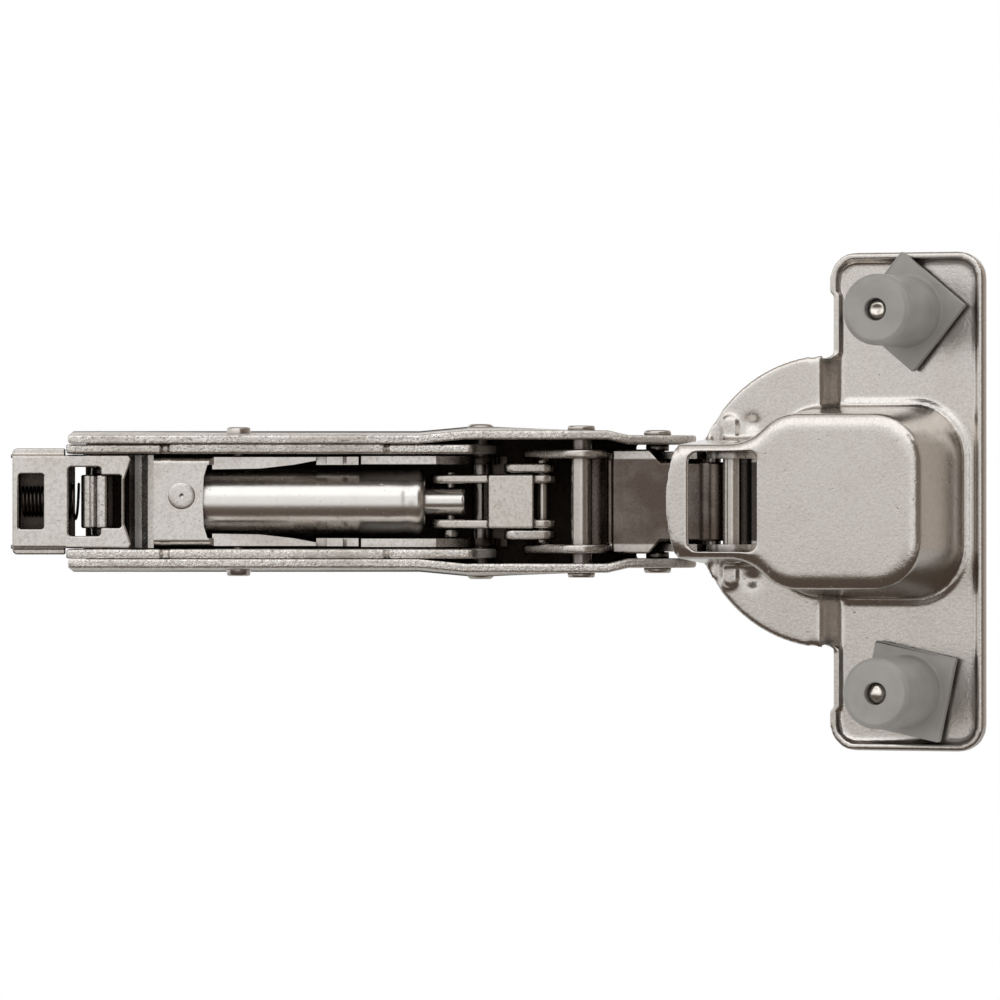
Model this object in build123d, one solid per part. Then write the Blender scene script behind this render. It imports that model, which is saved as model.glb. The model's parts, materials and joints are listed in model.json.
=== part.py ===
# Concealed cup hinge: clip-on arm with built-in damper, two links and a 35 mm cup.
# Row frame in mm: +X runs along the arm towards the cup, +Y from the arm's open
# side to its back, +Z along the pivots. The origin is the centre of the 35 mm cup
# hole on the door face. At rest the hinge stands open at open_deg.
import os
from math import acos, atan2, cos, degrees, hypot, radians, sin, tan
from build123d import *

# ---- driving dimensions ----------------------------------------------------
open_deg = 112.0          # opening angle between arm and door in the stored pose
sheet = 1.1               # arm channel sheet
fit = 0.03                # radial running clearance of every pivot

arm_rear_x = -91.4        # rear end of the arm walls
back_slot_x = -66.0       # centre of the slot through both back walls
back_rear_x = -89.9       # rear end of the back walls of arm and inner channel
arm_near_y = 3.0          # open edge of the arm channel
arm_far_y = 16.5          # outside of the arm's back wall
arm_half_rear = 8.0       # outer half width of the rear part
arm_half_flare = 8.52     # outer half width at the pivot stage
arm_half_nose = 7.95      # outer half width of the nose
nose_r = 4.65             # nose rounding about the front arm pivot
nose_start_x = -26.5      # the open edge leaves its straight line here
flare_x = (-49.5, -43.9)  # the walls widen between these two
neck_x = (-26.9, -24.4)   # and draw in again between these two
inner_half = 6.85         # inner channel, outer half width
inner_sheet = 1.15        # inner channel sheet
inner_near_y = 3.4
inner_far_y = 15.35
inner_front_x = -43.2     # front end of the inner channel's open edge

front_arm_pivot = (-20.8, 9.8)    # X, Y of the front link's rivets
rear_arm_pivot = (-30.0, 7.0)     # X, Y of the rear link's pin in the arm
rear_cup_uv = (-14.25, 2.5)       # rear link's pin in the cup: u, n
front_cup_uv = (-11.0, 5.2)       # front link's pin in the cup: u, n
front_slot_back = 2.56            # travel of the rivet in the front link's slot, rearwards
front_slot_fore = 0.23            # the same, forwards
front_slot_side = 0.40            # sideways room in that slot
rear_arm_pin_r = 1.3
rear_cup_pin_r = 0.8
front_cup_pin_r = 1.1
stub_r = 0.8              # shank of the front link's stub rivets

rear_sheet = 1.0          # rear link sheet
rear_eye_r = rear_cup_pin_r + fit + rear_sheet
rear_half = 6.25          # rear link's wide half width
tongue_half = 4.7         # rear link's tongue, half width
lever_pivot = (-34.65, 9.2)       # lever pin on the rear link
lever_nose = (-38.0, 8.7)
ear_tail = (-36.1, 9.8)    # far end of the outer ears
lever_pin_r = 0.65
lever_in = 3.42           # lever ears, inside and outside half widths
lever_out = 4.6
front_in = 5.1            # front link's ears
front_out = 6.0
front_eye_r = 3.1         # round end of those ears at the cup pin
web_sheet = 0.75          # web between the ears behind the cup pin
web_from = -10.0          # it spans these angles about the pin
web_to = 85.0
yoke_near = 2.25          # front link's back plate, offsets from its pivot line
yoke_far = 3.05
close_deg = 112.0         # the cup turns forwards by this much
front_turn = 30.0         # the front link turns back by this much

damper_y = 10.05          # damper axis
damper_r = 4.05
damper_rear_x = -76.0
damper_front_x = -48.6
collar_x = -50.3          # the tube is rolled down to its collar here
collar_r = 3.45
damper_wall = 0.6
rod_r = 1.8
rod_tip_x = -44.0
rod_pin_x = -45.7
rod_pin_r = 0.55
piston_r = 3.2
clevis_in = 2.17
clevis_out = 3.25
lever_room = 0.48         # room of the lever pin in the clevis

cup_disc_r = 17.4
cup_depth = 11.3
cup_sheet = 0.85
box_u = 16.05             # box end at the door face level
box_half = 11.35          # box half width at the door face level
neck_half = 7.75          # neck half width at the door face level
draft = 5.0               # draft of the side walls in degrees
end_draft = 7.6           # draft of the box's end wall
box_corner = 5.9          # corner radius of the box seen from above
s_curve_u0 = -9.6         # the neck widens to the box between these two
s_curve_u1 = -0.9
top_round = 1.0           # rounding of the box's top edge
plate_u0 = -0.6
plate_u1 = 18.7
plate_half = 29.6
plate_corner = 3.3
rim_w = 0.9
rim_h = 0.7
disc_n = 2.0
dowel_u = 9.5
dowel_pitch = 45.0
dowel_r = 4.2
dowel_tip = 12.5
dowel_plate = 1.0         # thickness of the square plate
dowel_foot = 0.3          # fillet between plate and stem
dowel_chamfer = 0.55
dowel_boss_r = 4.8        # boss between the flange's floor and the square plate
dowel_square = 10.2       # side of the square plate under each dowel
dowel_upper_turn = 50.5   # how those plates lie in the door's plane
dowel_lower_turn = -12.0
screw_r = 1.3

slide_rear_x = -98.1
slide_front_x = -83.85
slide_near_y = 4.0
slide_far_y = 10.4
slide_half = 5.4
slide_sheet = 0.85
rear_wall = 0.55          # the slide's rear wall is thinner
slide_travel = 1.8
wing_half = 6.35          # finger wings at the slide's rear end
wing_front_x = -91.75
box_front_x = -90.9       # the slide's closed rear box reaches here
spring_y = 7.15
spring_x1 = -90.35
spring_r = 1.65
spring_wire = 0.23
spring_turns = 9
catch_half = 3.2
catch_lug_half = 4.1
catch_pin_at = (-87.6, 8.2)
catch_pin_r = 0.8

u_dir = Vector(sin(radians(open_deg)), cos(radians(open_deg)), 0)
n_dir = Vector(cos(radians(open_deg)), -sin(radians(open_deg)), 0)
cup_plane = Plane(origin=(0, 0, 0), x_dir=u_dir, z_dir=n_dir)


def cup_point(u, n):
    p = u_dir * u + n_dir * n
    return (p.X, p.Y)


rear_cup_pivot = cup_point(*rear_cup_uv)
front_cup_pivot = cup_point(*front_cup_uv)


# ---- helpers ---------------------------------------------------------------
def at(p):
    return Pos(p[0], p[1], 0)


def disc(p, r):
    return at(p) * Circle(r)


def hull(*shapes):
    edges = []
    for s in shapes:
        edges += list(s.edges())
    return make_hull(edges)


def poly(*pts):
    return make_face(Polyline(*pts, close=True))


def slab(face, z0, z1):
    return extrude(Pos(0, 0, z0) * face, z1 - z0, dir=(0, 0, 1))


def pair(face, z0, z1):
    one = slab(face, z0, z1)
    return one + mirror(one, about=Plane.XY)


def across(face, half):
    return slab(face, -half, half)


def plan(*pts):
    # plan outline in X, Z swept through all depths
    face = make_face(Polyline(*[(x, -5, z) for x, z in pts], close=True))
    return extrude(face, 30, dir=(0, 1, 0))


def plan_pair(*pts):
    one = plan(*pts)
    return one + mirror(one, about=Plane.XY)


def pin(p, r, z0, z1):
    return slab(disc(p, r), z0, z1)


def headed(p, r, half, head_r, head_h, dome=0.0):
    # cross pin with a head on both ends; half is the outside of the walls it clamps
    body = across(disc(p, r), half)
    head = slab(disc(p, head_r), half, half + head_h)
    if dome > 0:
        head = fillet(head.edges().group_by(Axis.Z)[-1], dome)
    else:
        head = chamfer(head.edges().group_by(Axis.Z)[-1], 0.15)
    return body + head + mirror(head, about=Plane.XY)


def x_cylinder(x0, x1, y, r):
    return extrude(Plane(origin=(x0, y, 0), x_dir=(0, 1, 0), z_dir=(1, 0, 0)) * Circle(r), x1 - x0)


from_base = (Align.CENTER, Align.CENTER, Align.MIN)   # a cone's origin at its base
nodes = {}

# ---- arm channel -----------------------------------------------------------
h0, h1, h2 = arm_half_rear, arm_half_flare, arm_half_nose
rear_face = poly((arm_rear_x, arm_near_y), (nose_start_x, arm_near_y), (nose_start_x, arm_far_y),
                 (arm_rear_x, arm_far_y))
side = hull(rear_face, disc(front_arm_pivot, nose_r))
side = side - Pos(arm_rear_x, 20.0, 0) * Rectangle(6.0, 16.0)
outer_line = [(arm_rear_x - 1, h0), (flare_x[0], h0), (flare_x[1], h1), (neck_x[0], h1), (neck_x[1], h2),
              (-14.0, h2)]
band = outer_line + [(x, z - sheet) for x, z in reversed(outer_line)]
walls = across(side, 12) & plan_pair(*band)
full = outer_line + [(x, -z) for x, z in reversed(outer_line)]
back = across(poly((back_rear_x, arm_far_y - sheet), (nose_start_x - 0.5, arm_far_y - sheet),
                   (nose_start_x - 0.5, arm_far_y), (back_rear_x, arm_far_y)), 12) & plan(*full)
# the back slopes down along the nose's far edge, which is tangent to the nose rounding
edge_x, edge_y = front_arm_pivot[0] - nose_start_x, arm_far_y - front_arm_pivot[1]
tangent = atan2(edge_y, -edge_x) - acos(nose_r / hypot(edge_x, edge_y))
hood_end = (front_arm_pivot[0] + nose_r * cos(tangent), front_arm_pivot[1] + nose_r * sin(tangent))
hood_share = 0.46         # the back covers this share of that edge
hood_x = nose_start_x + (hood_end[0] - nose_start_x) * hood_share
hood_y = arm_far_y + (hood_end[1] - arm_far_y) * hood_share
hood_side = poly((nose_start_x - 0.6, arm_far_y - sheet), (nose_start_x - 0.6, arm_far_y),
                 (nose_start_x, arm_far_y), (hood_x, hood_y), (hood_x, hood_y - sheet),
                 (nose_start_x, arm_far_y - sheet))
hood = across(hood_side, 12) & plan(*full)
arm = walls + back + hood
back_slot = extrude(SlotCenterToCenter(5.0, 4.6), 5, both=True)
back_slot = Pos(back_slot_x, arm_far_y, 0) * Rot(90, 0, 0) * back_slot
arm = arm - back_slot
arm = arm - across(disc(rear_arm_pivot, rear_arm_pin_r + 0.01), 12)
arm = arm - across(disc(front_arm_pivot, stub_r + 0.01), 12)
axle_at = (-42.1, 13.3)
axle_r = 1.05
arm = arm - across(disc(axle_at, axle_r + 0.01), 12)
channel_rivet_at = (-71.1, 6.6)
channel_rivet_r = 0.9
arm = arm - across(disc(channel_rivet_at, channel_rivet_r + 0.01), 12)
bracket_rivet_at = (-77.85, 0.68)   # X, Z of the rivet along Y
bracket_rivet_r = 1.2
y_hole = Pos(bracket_rivet_at[0], 0, bracket_rivet_at[1]) * Rot(-90, 0, 0)
arm = arm - y_hole * Pos(0, 0, 10) * extrude(Circle(bracket_rivet_r + 0.01), 10)
long_edges = arm.edges().filter_by(Axis.X).filter_by_position(Axis.Y, arm_far_y - 0.01, arm_far_y + 0.01)
long_edges = [e for e in long_edges if abs(e.center().Z) > 7.5]
arm = fillet(long_edges, 0.6)
nodes["arm_channel"] = arm

# ---- inner channel ---------------------------------------------------------
i0 = inner_half
i1 = inner_half - inner_sheet
rail_tip_x = inner_front_x + 3.0
rail = poly((arm_rear_x - 0.2, inner_near_y), (inner_front_x, inner_near_y), (rail_tip_x, 10.5),
            (rail_tip_x, inner_far_y), (arm_rear_x - 0.2, inner_far_y))
rail = fillet(rail.vertices().group_by(Axis.Y)[0].sort_by(Axis.X)[-1], 0.8)
rail = rail - Pos(-79.8, inner_near_y, 0) * Rectangle(0.9, 1.6)
rail = rail - Pos(-53.3, inner_near_y, 0) * Rectangle(0.5, 1.0)
inner = pair(rail, i1, i0)
# pockets in the rails, into which the slide's finger wings run
pocket_x0, pocket_x1 = arm_rear_x - 1.0, wing_front_x + slide_travel + 0.15
pocket_y0, pocket_y1 = slide_near_y - 0.15, slide_near_y + slide_sheet + 0.15
wing_pocket = poly((pocket_x0, pocket_y0), (pocket_x1, pocket_y0), (pocket_x1, pocket_y1),
                   (pocket_x0, pocket_y1))
inner = inner - pair(wing_pocket, i1 - 0.5, wing_half + 0.1)
floor_plate = across(poly((back_rear_x, inner_far_y - 1.0), (-47.0, inner_far_y - 1.0), (-47.0, inner_far_y),
                          (back_rear_x, inner_far_y)), i1)
inner = inner + floor_plate
inner = inner - back_slot
inner = inner - across(disc(axle_at, axle_r + 0.01), 12)
inner = inner - across(disc(channel_rivet_at, channel_rivet_r + 0.01), 12)
inner = inner - across(disc(catch_pin_at, catch_pin_r + 0.01), 12)
inner = inner - y_hole * Pos(0, 0, 10) * extrude(Circle(bracket_rivet_r + 0.01), 10)
nodes["inner_channel"] = inner


def channel_rivet(sign):
    shank = slab(disc(channel_rivet_at, channel_rivet_r), i1 - 0.35, h0)
    head = slab(disc(channel_rivet_at, 1.45), h0, h0 + 0.5)
    head = fillet(head.edges().group_by(Axis.Z)[-1], 0.3)
    one = shank + head
    return one if sign > 0 else mirror(one, about=Plane.XY)


nodes["channel_rivet_upper"] = channel_rivet(1)
nodes["channel_rivet_lower"] = channel_rivet(-1)

# ---- closing spring and its axle -------------------------------------------
nodes["spring_axle"] = headed(axle_at, axle_r, h1, 1.65, 0.85, 0.6)
leg_in = 4.45
leg_out = 5.45
leg_near = [(-56.4, 5.1), (-47.4, 5.1), (-44.0, 8.4), (-42.5, 12.0)]
leg_far = [(-43.5, 12.5), (-45.0, 8.9), (-47.8, 6.1), (-56.4, 6.1)]
leg = poly(*leg_near, *leg_far) - disc(axle_at, axle_r + 0.02)
ring = disc(axle_at, axle_r + 1.0) - disc(axle_at, axle_r + 0.02)
tail = poly((-41.6, 14.3), (-38.9, 13.6), (-38.9, 14.3), (-41.6, 15.2))
spring = pair(leg, leg_in, leg_out) + pair(ring, leg_in, leg_out) + across(tail, leg_out)
nodes["closing_spring"] = spring

# ---- damper ----------------------------------------------------------------
barrel = fillet(x_cylinder(damper_rear_x, collar_x, damper_y, damper_r).edges().sort_by(Axis.X)[-1], 0.5)
collar = x_cylinder(collar_x - 1.0, damper_front_x, damper_y, collar_r)
barrel = barrel + fillet(collar.edges().sort_by(Axis.X)[-1], 0.6)
barrel = barrel - x_cylinder(damper_rear_x + 1.0, collar_x - 0.4, damper_y, damper_r - damper_wall)
barrel = barrel - x_cylinder(damper_front_x - 2.3, damper_front_x + 1.0, damper_y, rod_r + 0.9)
nodes["damper_cylinder"] = barrel
cap = x_cylinder(damper_front_x - 1.19, damper_front_x - 0.3, damper_y, rod_r + 0.88)
cap = cap - x_cylinder(damper_front_x - 2, damper_front_x + 1, damper_y, rod_r + fit)
nodes["damper_cap"] = cap
piston_x = damper_front_x - 9.4
piston_long = 4.0
piston = x_cylinder(piston_x, piston_x + piston_long, damper_y, piston_r)
nodes["damper_piston"] = chamfer(piston.edges(), 0.3)
rod = x_cylinder(piston_x + piston_long, rod_tip_x, damper_y, rod_r)
rod = chamfer(rod.edges().sort_by(Axis.X)[-1], 0.2)
rod = rod - across(disc((rod_pin_x, damper_y), rod_pin_r + 0.01), 4)
nodes["piston_rod"] = rod
tip_pin = pin((rod_pin_x, damper_y), rod_pin_r, -4.1, 3.55)
nodes["rod_pin"] = tip_pin + pin((rod_pin_x, damper_y), 0.95, -4.35, -3.35)

# ---- clevis between rod and lever ------------------------------------------
rod_pin_at = (rod_pin_x, damper_y)
ear = hull(disc((rod_pin_x - 0.75, damper_y), 1.75), disc(rod_pin_at, 1.75), disc(lever_pivot, 1.65))
ear = ear - disc(rod_pin_at, rod_pin_r + fit) - disc(lever_pivot, lever_pin_r + lever_room)
clevis = pair(ear, clevis_in, clevis_out)
web_x0 = -41.2
web_x1 = -35.7
slope = (lever_pivot[1] - damper_y) / (lever_pivot[0] - rod_pin_x)


def clevis_near(x):
    return damper_y + slope * (x - rod_pin_x) - 1.72


clevis_face = poly((web_x0, clevis_near(web_x0) - 0.35), (web_x1, clevis_near(web_x1) - 0.35),
                   (web_x1, clevis_near(web_x1) + 0.7), (web_x0, clevis_near(web_x0) + 0.7))
clevis = clevis + across(clevis_face, clevis_out)
nodes["clevis"] = clevis
nodes["lever_pin"] = pin(lever_pivot, lever_pin_r, -lever_out - 0.3, lever_out + 0.3)

# ---- damper bracket --------------------------------------------------------
bracket_near = 4.3
bracket_sheet = 0.9
lid_rear_x = -81.2
lid_front_x = -74.6
strip_near = 4.9          # near face of the side strips
strip_front_x = -61.8
hook_front_x = -56.7
flange_in = 4.4
flange_out = 5.35
bracket_fold = 0.85       # outside radius of the fold between lid and flanges
lid_side = [(lid_front_x, 4.9), (lid_front_x - 0.6, 3.0), (lid_front_x - 0.75, 0)]
lid_plan = [(lid_rear_x, 4.9)] + lid_side + [(x, -z) for x, z in reversed(lid_side[:-1])] + [(lid_rear_x, -4.9)]
lid = extrude(Pos(0, bracket_near, 0) * Rot(90, 0, 0) * poly(*lid_plan), bracket_sheet, dir=(0, 1, 0))
bend = poly((lid_rear_x, bracket_near), (-81.9, 4.75), (-82.7, 6.0), (-83.6, 7.9), (-84.3, 8.7), (-84.0, 9.6),
            (-82.8, 8.5), (-81.9, 6.4), (lid_rear_x, bracket_near + bracket_sheet))
lip = across(bend, 5.55)
# side flanges beside the damper, with a strip that leans over the tube and a hook at the front
flange_side = poly((lid_rear_x, bracket_near), (lid_front_x, bracket_near), (lid_front_x + 0.6, strip_near),
                   (hook_front_x, strip_near), (hook_front_x, 9.0), (lid_rear_x, 9.0))
flange_side = flange_side - Pos(-61.15, 5.5, 0) * Rectangle(1.3, 3.4)
flange_side = flange_side - Pos(-59.5, 5.0, 0) * Rectangle(2.0, 1.4)
flange_side = flange_side - Pos(-58.35, 5.5, 0) * Rectangle(0.5, 3.4)
wall_plan = plan_pair((lid_rear_x, flange_in), (-64.5, flange_in), (strip_front_x, 4.9),
                      (strip_front_x, flange_in), (hook_front_x, flange_in), (hook_front_x, flange_out),
                      (lid_rear_x, flange_out))
strip_plan = plan_pair((-74.2, 3.85), (-68.5, 3.95), (-64.5, flange_in), (strip_front_x, 4.9),
                       (strip_front_x, flange_out), (-74.2, flange_out))
strip_side = poly((-74.2, strip_near), (strip_front_x, strip_near), (strip_front_x, strip_near + 1.1),
                  (-74.2, strip_near + 1.1))
side_wall = (across(flange_side, 12) & wall_plan) + (across(strip_side, 12) & strip_plan)
bracket = lid + side_wall
folds = bracket.edges().filter_by(Axis.X).filter_by_position(Axis.Y, bracket_near - 0.01, bracket_near + 0.01)
bracket = fillet([e for e in folds if abs(e.center().Z) > flange_in], bracket_fold) + lip
head_r = 1.8
head_deep = 0.15
head_at = y_hole * Pos(0, 0, bracket_near)
bracket = bracket - y_hole * extrude(Circle(bracket_rivet_r + 0.01), 12)
bracket = bracket - head_at * extrude(Circle(head_r + 0.12), head_deep)
nodes["damper_bracket"] = bracket
rivet = head_at * extrude(Circle(bracket_rivet_r), arm_far_y + 0.5 - bracket_near)
rivet_head = head_at * Pos(0, 0, -0.03) * extrude(Circle(head_r), head_deep + 0.03)
rivet_head = rivet_head - head_at * Pos(0, 0, -0.04) * Cone(0.2, 0.05, 0.12, align=from_base)
far_head = y_hole * Pos(0, 0, arm_far_y) * extrude(Circle(1.9), 0.5)
nodes["bracket_rivet"] = rivet + rivet_head + far_head

# ---- release slide, its spring and the catch -------------------------------
sx0, sx1, sy = slide_rear_x, slide_front_x, slide_near_y
corner_r = 0.6
face_side = [(sx0, wing_half), (wing_front_x, wing_half), (wing_front_x, slide_half), (sx1 - 0.3, slide_half),
             (sx1, 5.1), (sx1 - 0.85, 2.6)]
face_plan = poly(*face_side, *[(x, -z) for x, z in reversed(face_side)])
face_plan = fillet(face_plan.vertices().group_by(Axis.X)[0], corner_r)
face_plan = face_plan - Pos(-95.83, 0, 0) * RectangleRounded(2.97, 6.56, 0.3)
face_plan = face_plan - Pos(-89.45, 0, 0) * RectangleRounded(3.9, 8.25, 0.4)
face_plan = face_plan - Pos(-87.1, 0, 0) * RectangleRounded(4.1, 6.3, 0.3)
front_wall = extrude(Pos(0, sy, 0) * Rot(90, 0, 0) * face_plan, slide_sheet, dir=(0, 1, 0))
cheek = poly((sx0, sy), (sx1 - 2.0, sy), (sx1 - 3.0, slide_far_y - 1.0), (-90.0, slide_far_y),
             (sx0 + 0.8, slide_far_y), (sx0, slide_far_y - 0.8))
guide_slot = hull(disc(catch_pin_at, catch_pin_r + 0.12),
                  disc((catch_pin_at[0] - slide_travel, catch_pin_at[1]), catch_pin_r + 0.12))
cheek = cheek - guide_slot
box_side = poly((sx0, sy), (sx0 + rear_wall, sy), (sx0 + rear_wall, slide_far_y - slide_sheet),
                (box_front_x, slide_far_y - slide_sheet), (box_front_x, slide_far_y),
                (sx0 + 0.8, slide_far_y), (sx0, slide_far_y - 0.8))
slide = front_wall + pair(cheek, slide_half - slide_sheet, slide_half) + across(box_side, slide_half)
nodes["release_slide"] = slide
spring_x0 = sx0 + rear_wall + spring_wire + 0.1
spring_len = spring_x1 - spring_x0
coil = Helix(pitch=spring_len / spring_turns, height=spring_len, radius=spring_r,
             center=(spring_x0, spring_y, 0), direction=(1, 0, 0))
wire_plane = Plane(origin=coil @ 0, z_dir=coil % 0)
nodes["release_spring"] = sweep(wire_plane * RegularPolygon(spring_wire, 6), path=coil)
roll_at = (-89.1, 6.3)
roll_r = 0.88
hook = hull(disc(catch_pin_at, 1.5), disc((-88.3, 6.4), roll_r)) + disc(roll_at, roll_r)
lip_face = poly((-88.5, 5.6), (-87.9, 4.9), (-86.9, 4.9), (-86.7, 5.5), (-86.9, 7.6), (-88.0, 8.0))
catch_bore = disc(catch_pin_at, catch_pin_r + fit)
catch = across(hook + lip_face - catch_bore, catch_half)
catch = catch + across(disc(catch_pin_at, catch_pin_r + 0.45) - catch_bore, catch_lug_half)
nodes["catch_hook"] = catch
nodes["catch_pin"] = pin(catch_pin_at, catch_pin_r, -i0, i0)

# ---- rear link -------------------------------------------------------------
ax, ay = rear_arm_pivot
bx, by = rear_cup_pivot
link_len = hypot(bx - ax, by - ay)
dx, dy = (bx - ax) / link_len, (by - ay) / link_len
px, py = -dy, dx


def along(s, o):
    return (ax + dx * s + px * o, ay + dy * s + py * o)


o_near = rear_cup_pin_r + fit
o_far = rear_eye_r
eye = disc(rear_cup_pivot, rear_eye_r) - disc(rear_cup_pivot, o_near)
seam = poly(along(link_len - 3, -0.35), along(link_len - 3, -0.05), along(link_len, -0.05),
            along(link_len, -0.35))
tongue = poly(along(3.6, o_near), along(link_len, o_near), along(link_len, o_far), along(3.6, o_far))
curl_r = 3.3
start = degrees(atan2(dy, dx)) + 22.0
sweep_deg = 100.0
curl_pts = [radians(start + sweep_deg * i / 12) for i in range(13)]
curl_out = [(ax + (curl_r + 1.0) * cos(a), ay + (curl_r + 1.0) * sin(a)) for a in curl_pts]
curl_in = [(ax + curl_r * cos(a), ay + curl_r * sin(a)) for a in reversed(curl_pts)]
curl = poly(*(curl_out + curl_in))
strip = tongue + curl + poly(along(2.9, 1.4), along(4.6, o_near), along(4.6, o_far), along(3.6, 2.1))
wide = across(strip, rear_half) & plan((-35.0, -rear_half), (-21.9, -rear_half), (-20.6, -tongue_half),
                                       (-5.0, -tongue_half), (-5.0, tongue_half), (-20.6, tongue_half),
                                       (-21.9, rear_half), (-35.0, rear_half))
wide = wide + across(eye, tongue_half) - across(seam, tongue_half + 1)
ear_in = rear_half - 1.1
ear_face = hull(disc(rear_arm_pivot, 3.2), disc(ear_tail, 0.9))
ear_face = ear_face + hull(disc(along(1.2, 1.9), 1.0), disc(along(3.0, 1.35), 0.5))
lever_face = hull(disc(lever_pivot, 1.55), disc(lever_nose, 1.3))
jog_face = poly((-36.4, 9.6), (-33.6, 9.6), (-33.6, 10.6), (-36.4, 10.4))
ears = pair(ear_face, ear_in, rear_half) + pair(lever_face, lever_in, lever_out)
ears = ears + pair(jog_face, lever_in, rear_half)
link = wide + ears
link = link - across(disc(rear_arm_pivot, rear_arm_pin_r + fit), 12)
link = link - across(disc(lever_pivot, lever_pin_r + 0.01), 12)
nodes["rear_link"] = link
nodes["rear_link_arm_pin"] = headed(rear_arm_pivot, rear_arm_pin_r, h1, 1.65, 0.6)

# ---- front link ------------------------------------------------------------
fx, fy = front_arm_pivot
cx, cy = front_cup_pivot
front_len = hypot(cx - fx, cy - fy)
ex, ey = (cx - fx) / front_len, (cy - fy) / front_len
qx, qy = -ey, ex


def front(s, o):
    # s runs from the arm rivets to the cup pin, o to the link's back
    return (fx + ex * s + qx * o, fy + ey * s + qy * o)


slot_half = stub_r + front_slot_side + 0.03
slot_a = (fx - front_slot_back, fy)
slot_b = (fx + front_slot_fore, fy)
slot = hull(disc(slot_a, slot_half), disc(slot_b, slot_half))
lobe = hull(disc(slot_a, slot_half + 0.75), disc(slot_b, slot_half + 0.85))
cup_eye = disc(front_cup_pivot, front_eye_r)
bar = poly(front(0.2, -2.0), front(4.0, -1.4), front(8.6, -1.2), front(front_len - 1.0, -1.6),
           front(front_len + 1.0, 2.3), front(11.6, 3.3), front(9.6, 3.5), front(7.6, 3.2),
           front(6.2, yoke_far), front(-1.8, yoke_far), front(-2.2, 1.5))
# the rear link's cup pin sweeps this ring round the front cup pin while the hinge closes
pin_room = rear_cup_pin_r + 0.12
orbit = hypot(bx - cx, by - cy)
orbit_start = degrees(atan2(by - cy, bx - cx))
orbit_sweep = close_deg + front_turn
ring_path = disc(front_cup_pivot, orbit + pin_room) - disc(front_cup_pivot, orbit - pin_room)
fan = [front_cup_pivot]
for i in range(13):
    a = radians(orbit_start + orbit_sweep * i / 12)
    fan.append((cx + 12.0 * cos(a), cy + 12.0 * sin(a)))
orbit_end = radians(orbit_start + orbit_sweep)
pin_end = (cx + orbit * cos(orbit_end), cy + orbit * sin(orbit_end))
swept = ring_path & poly(*fan)
front_ear = lobe + cup_eye + bar - swept - disc(rear_cup_pivot, pin_room) - disc(pin_end, pin_room)
front_ear = front_ear - slot - disc(front_cup_pivot, front_cup_pin_r + fit)
ear_faces = front_ear.faces().sort_by(SortBy.AREA)
yoke = poly(front(-1.8, yoke_near), front(6.0, yoke_near), front(6.0, yoke_far), front(-1.8, yoke_far))
yoke = fillet(yoke.vertices(), 0.35)
web_ring = disc(front_cup_pivot, front_eye_r) - disc(front_cup_pivot, front_eye_r - web_sheet)
web_fan = [front_cup_pivot]
for i in range(7):
    a = radians(web_from + (web_to - web_from) * i / 6)
    web_fan.append((cx + 5.0 * cos(a), cy + 5.0 * sin(a)))
web = across(web_ring & poly(*web_fan), front_out)
nodes["front_link"] = pair(ear_faces[-1], front_in, front_out) + across(yoke, front_out) + web


def stub(sign):
    shank = slab(disc(front_arm_pivot, stub_r), front_in - 0.06, h2)
    collar = slab(disc(front_arm_pivot, 1.4), front_out + 0.08, h2 - sheet)
    head = slab(disc(front_arm_pivot, 1.65), h2, h2 + 0.65)
    head = chamfer(head.edges().group_by(Axis.Z)[-1], 0.2)
    inner_head = slab(disc(front_arm_pivot, 1.7), front_in - 0.65, front_in - 0.06)
    one = shank + collar + head + inner_head
    return one if sign > 0 else mirror(one, about=Plane.XY)


nodes["front_link_rivet_upper"] = stub(1)
nodes["front_link_rivet_lower"] = stub(-1)

# ---- cup body, drawn in its own plane: x = u, y = row Z, z = n ----------------
cup_base = -0.7
cup_height = cup_depth - cup_base


def cup_outline(inset, end_inset, corner):
    b = box_half - inset
    k = neck_half - inset
    e = box_u - end_inset
    run, rise = (s_curve_u1 - s_curve_u0) / 2, (b - k) / 2
    r = (run * run + rise * rise) / (2 * rise)
    half = atan2(run, r - rise) / 2
    hx, hy = r * sin(half), r * (1 - cos(half))
    mid_u, mid_v = s_curve_u0 + run, k + rise
    low = ThreePointArc((s_curve_u0, -k), (s_curve_u0 + hx, -k - hy), (mid_u, -mid_v))
    low = low + ThreePointArc((mid_u, -mid_v), (s_curve_u1 - hx, -b + hy), (s_curve_u1, -b))
    lines = Polyline((s_curve_u1, -b), (e, -b), (e, b), (s_curve_u1, b))
    top = ThreePointArc((s_curve_u1, b), (s_curve_u1 - hx, b - hy), (mid_u, mid_v))
    top = top + ThreePointArc((mid_u, mid_v), (s_curve_u0 + hx, k + hy), (s_curve_u0, k))
    close = Polyline((s_curve_u0, k), (-20.0, k), (-20.0, -k), (s_curve_u0, -k))
    face = make_face(low + lines + top + close)
    return fillet([v for v in face.vertices() if v.X > e - 0.1], corner)


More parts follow.
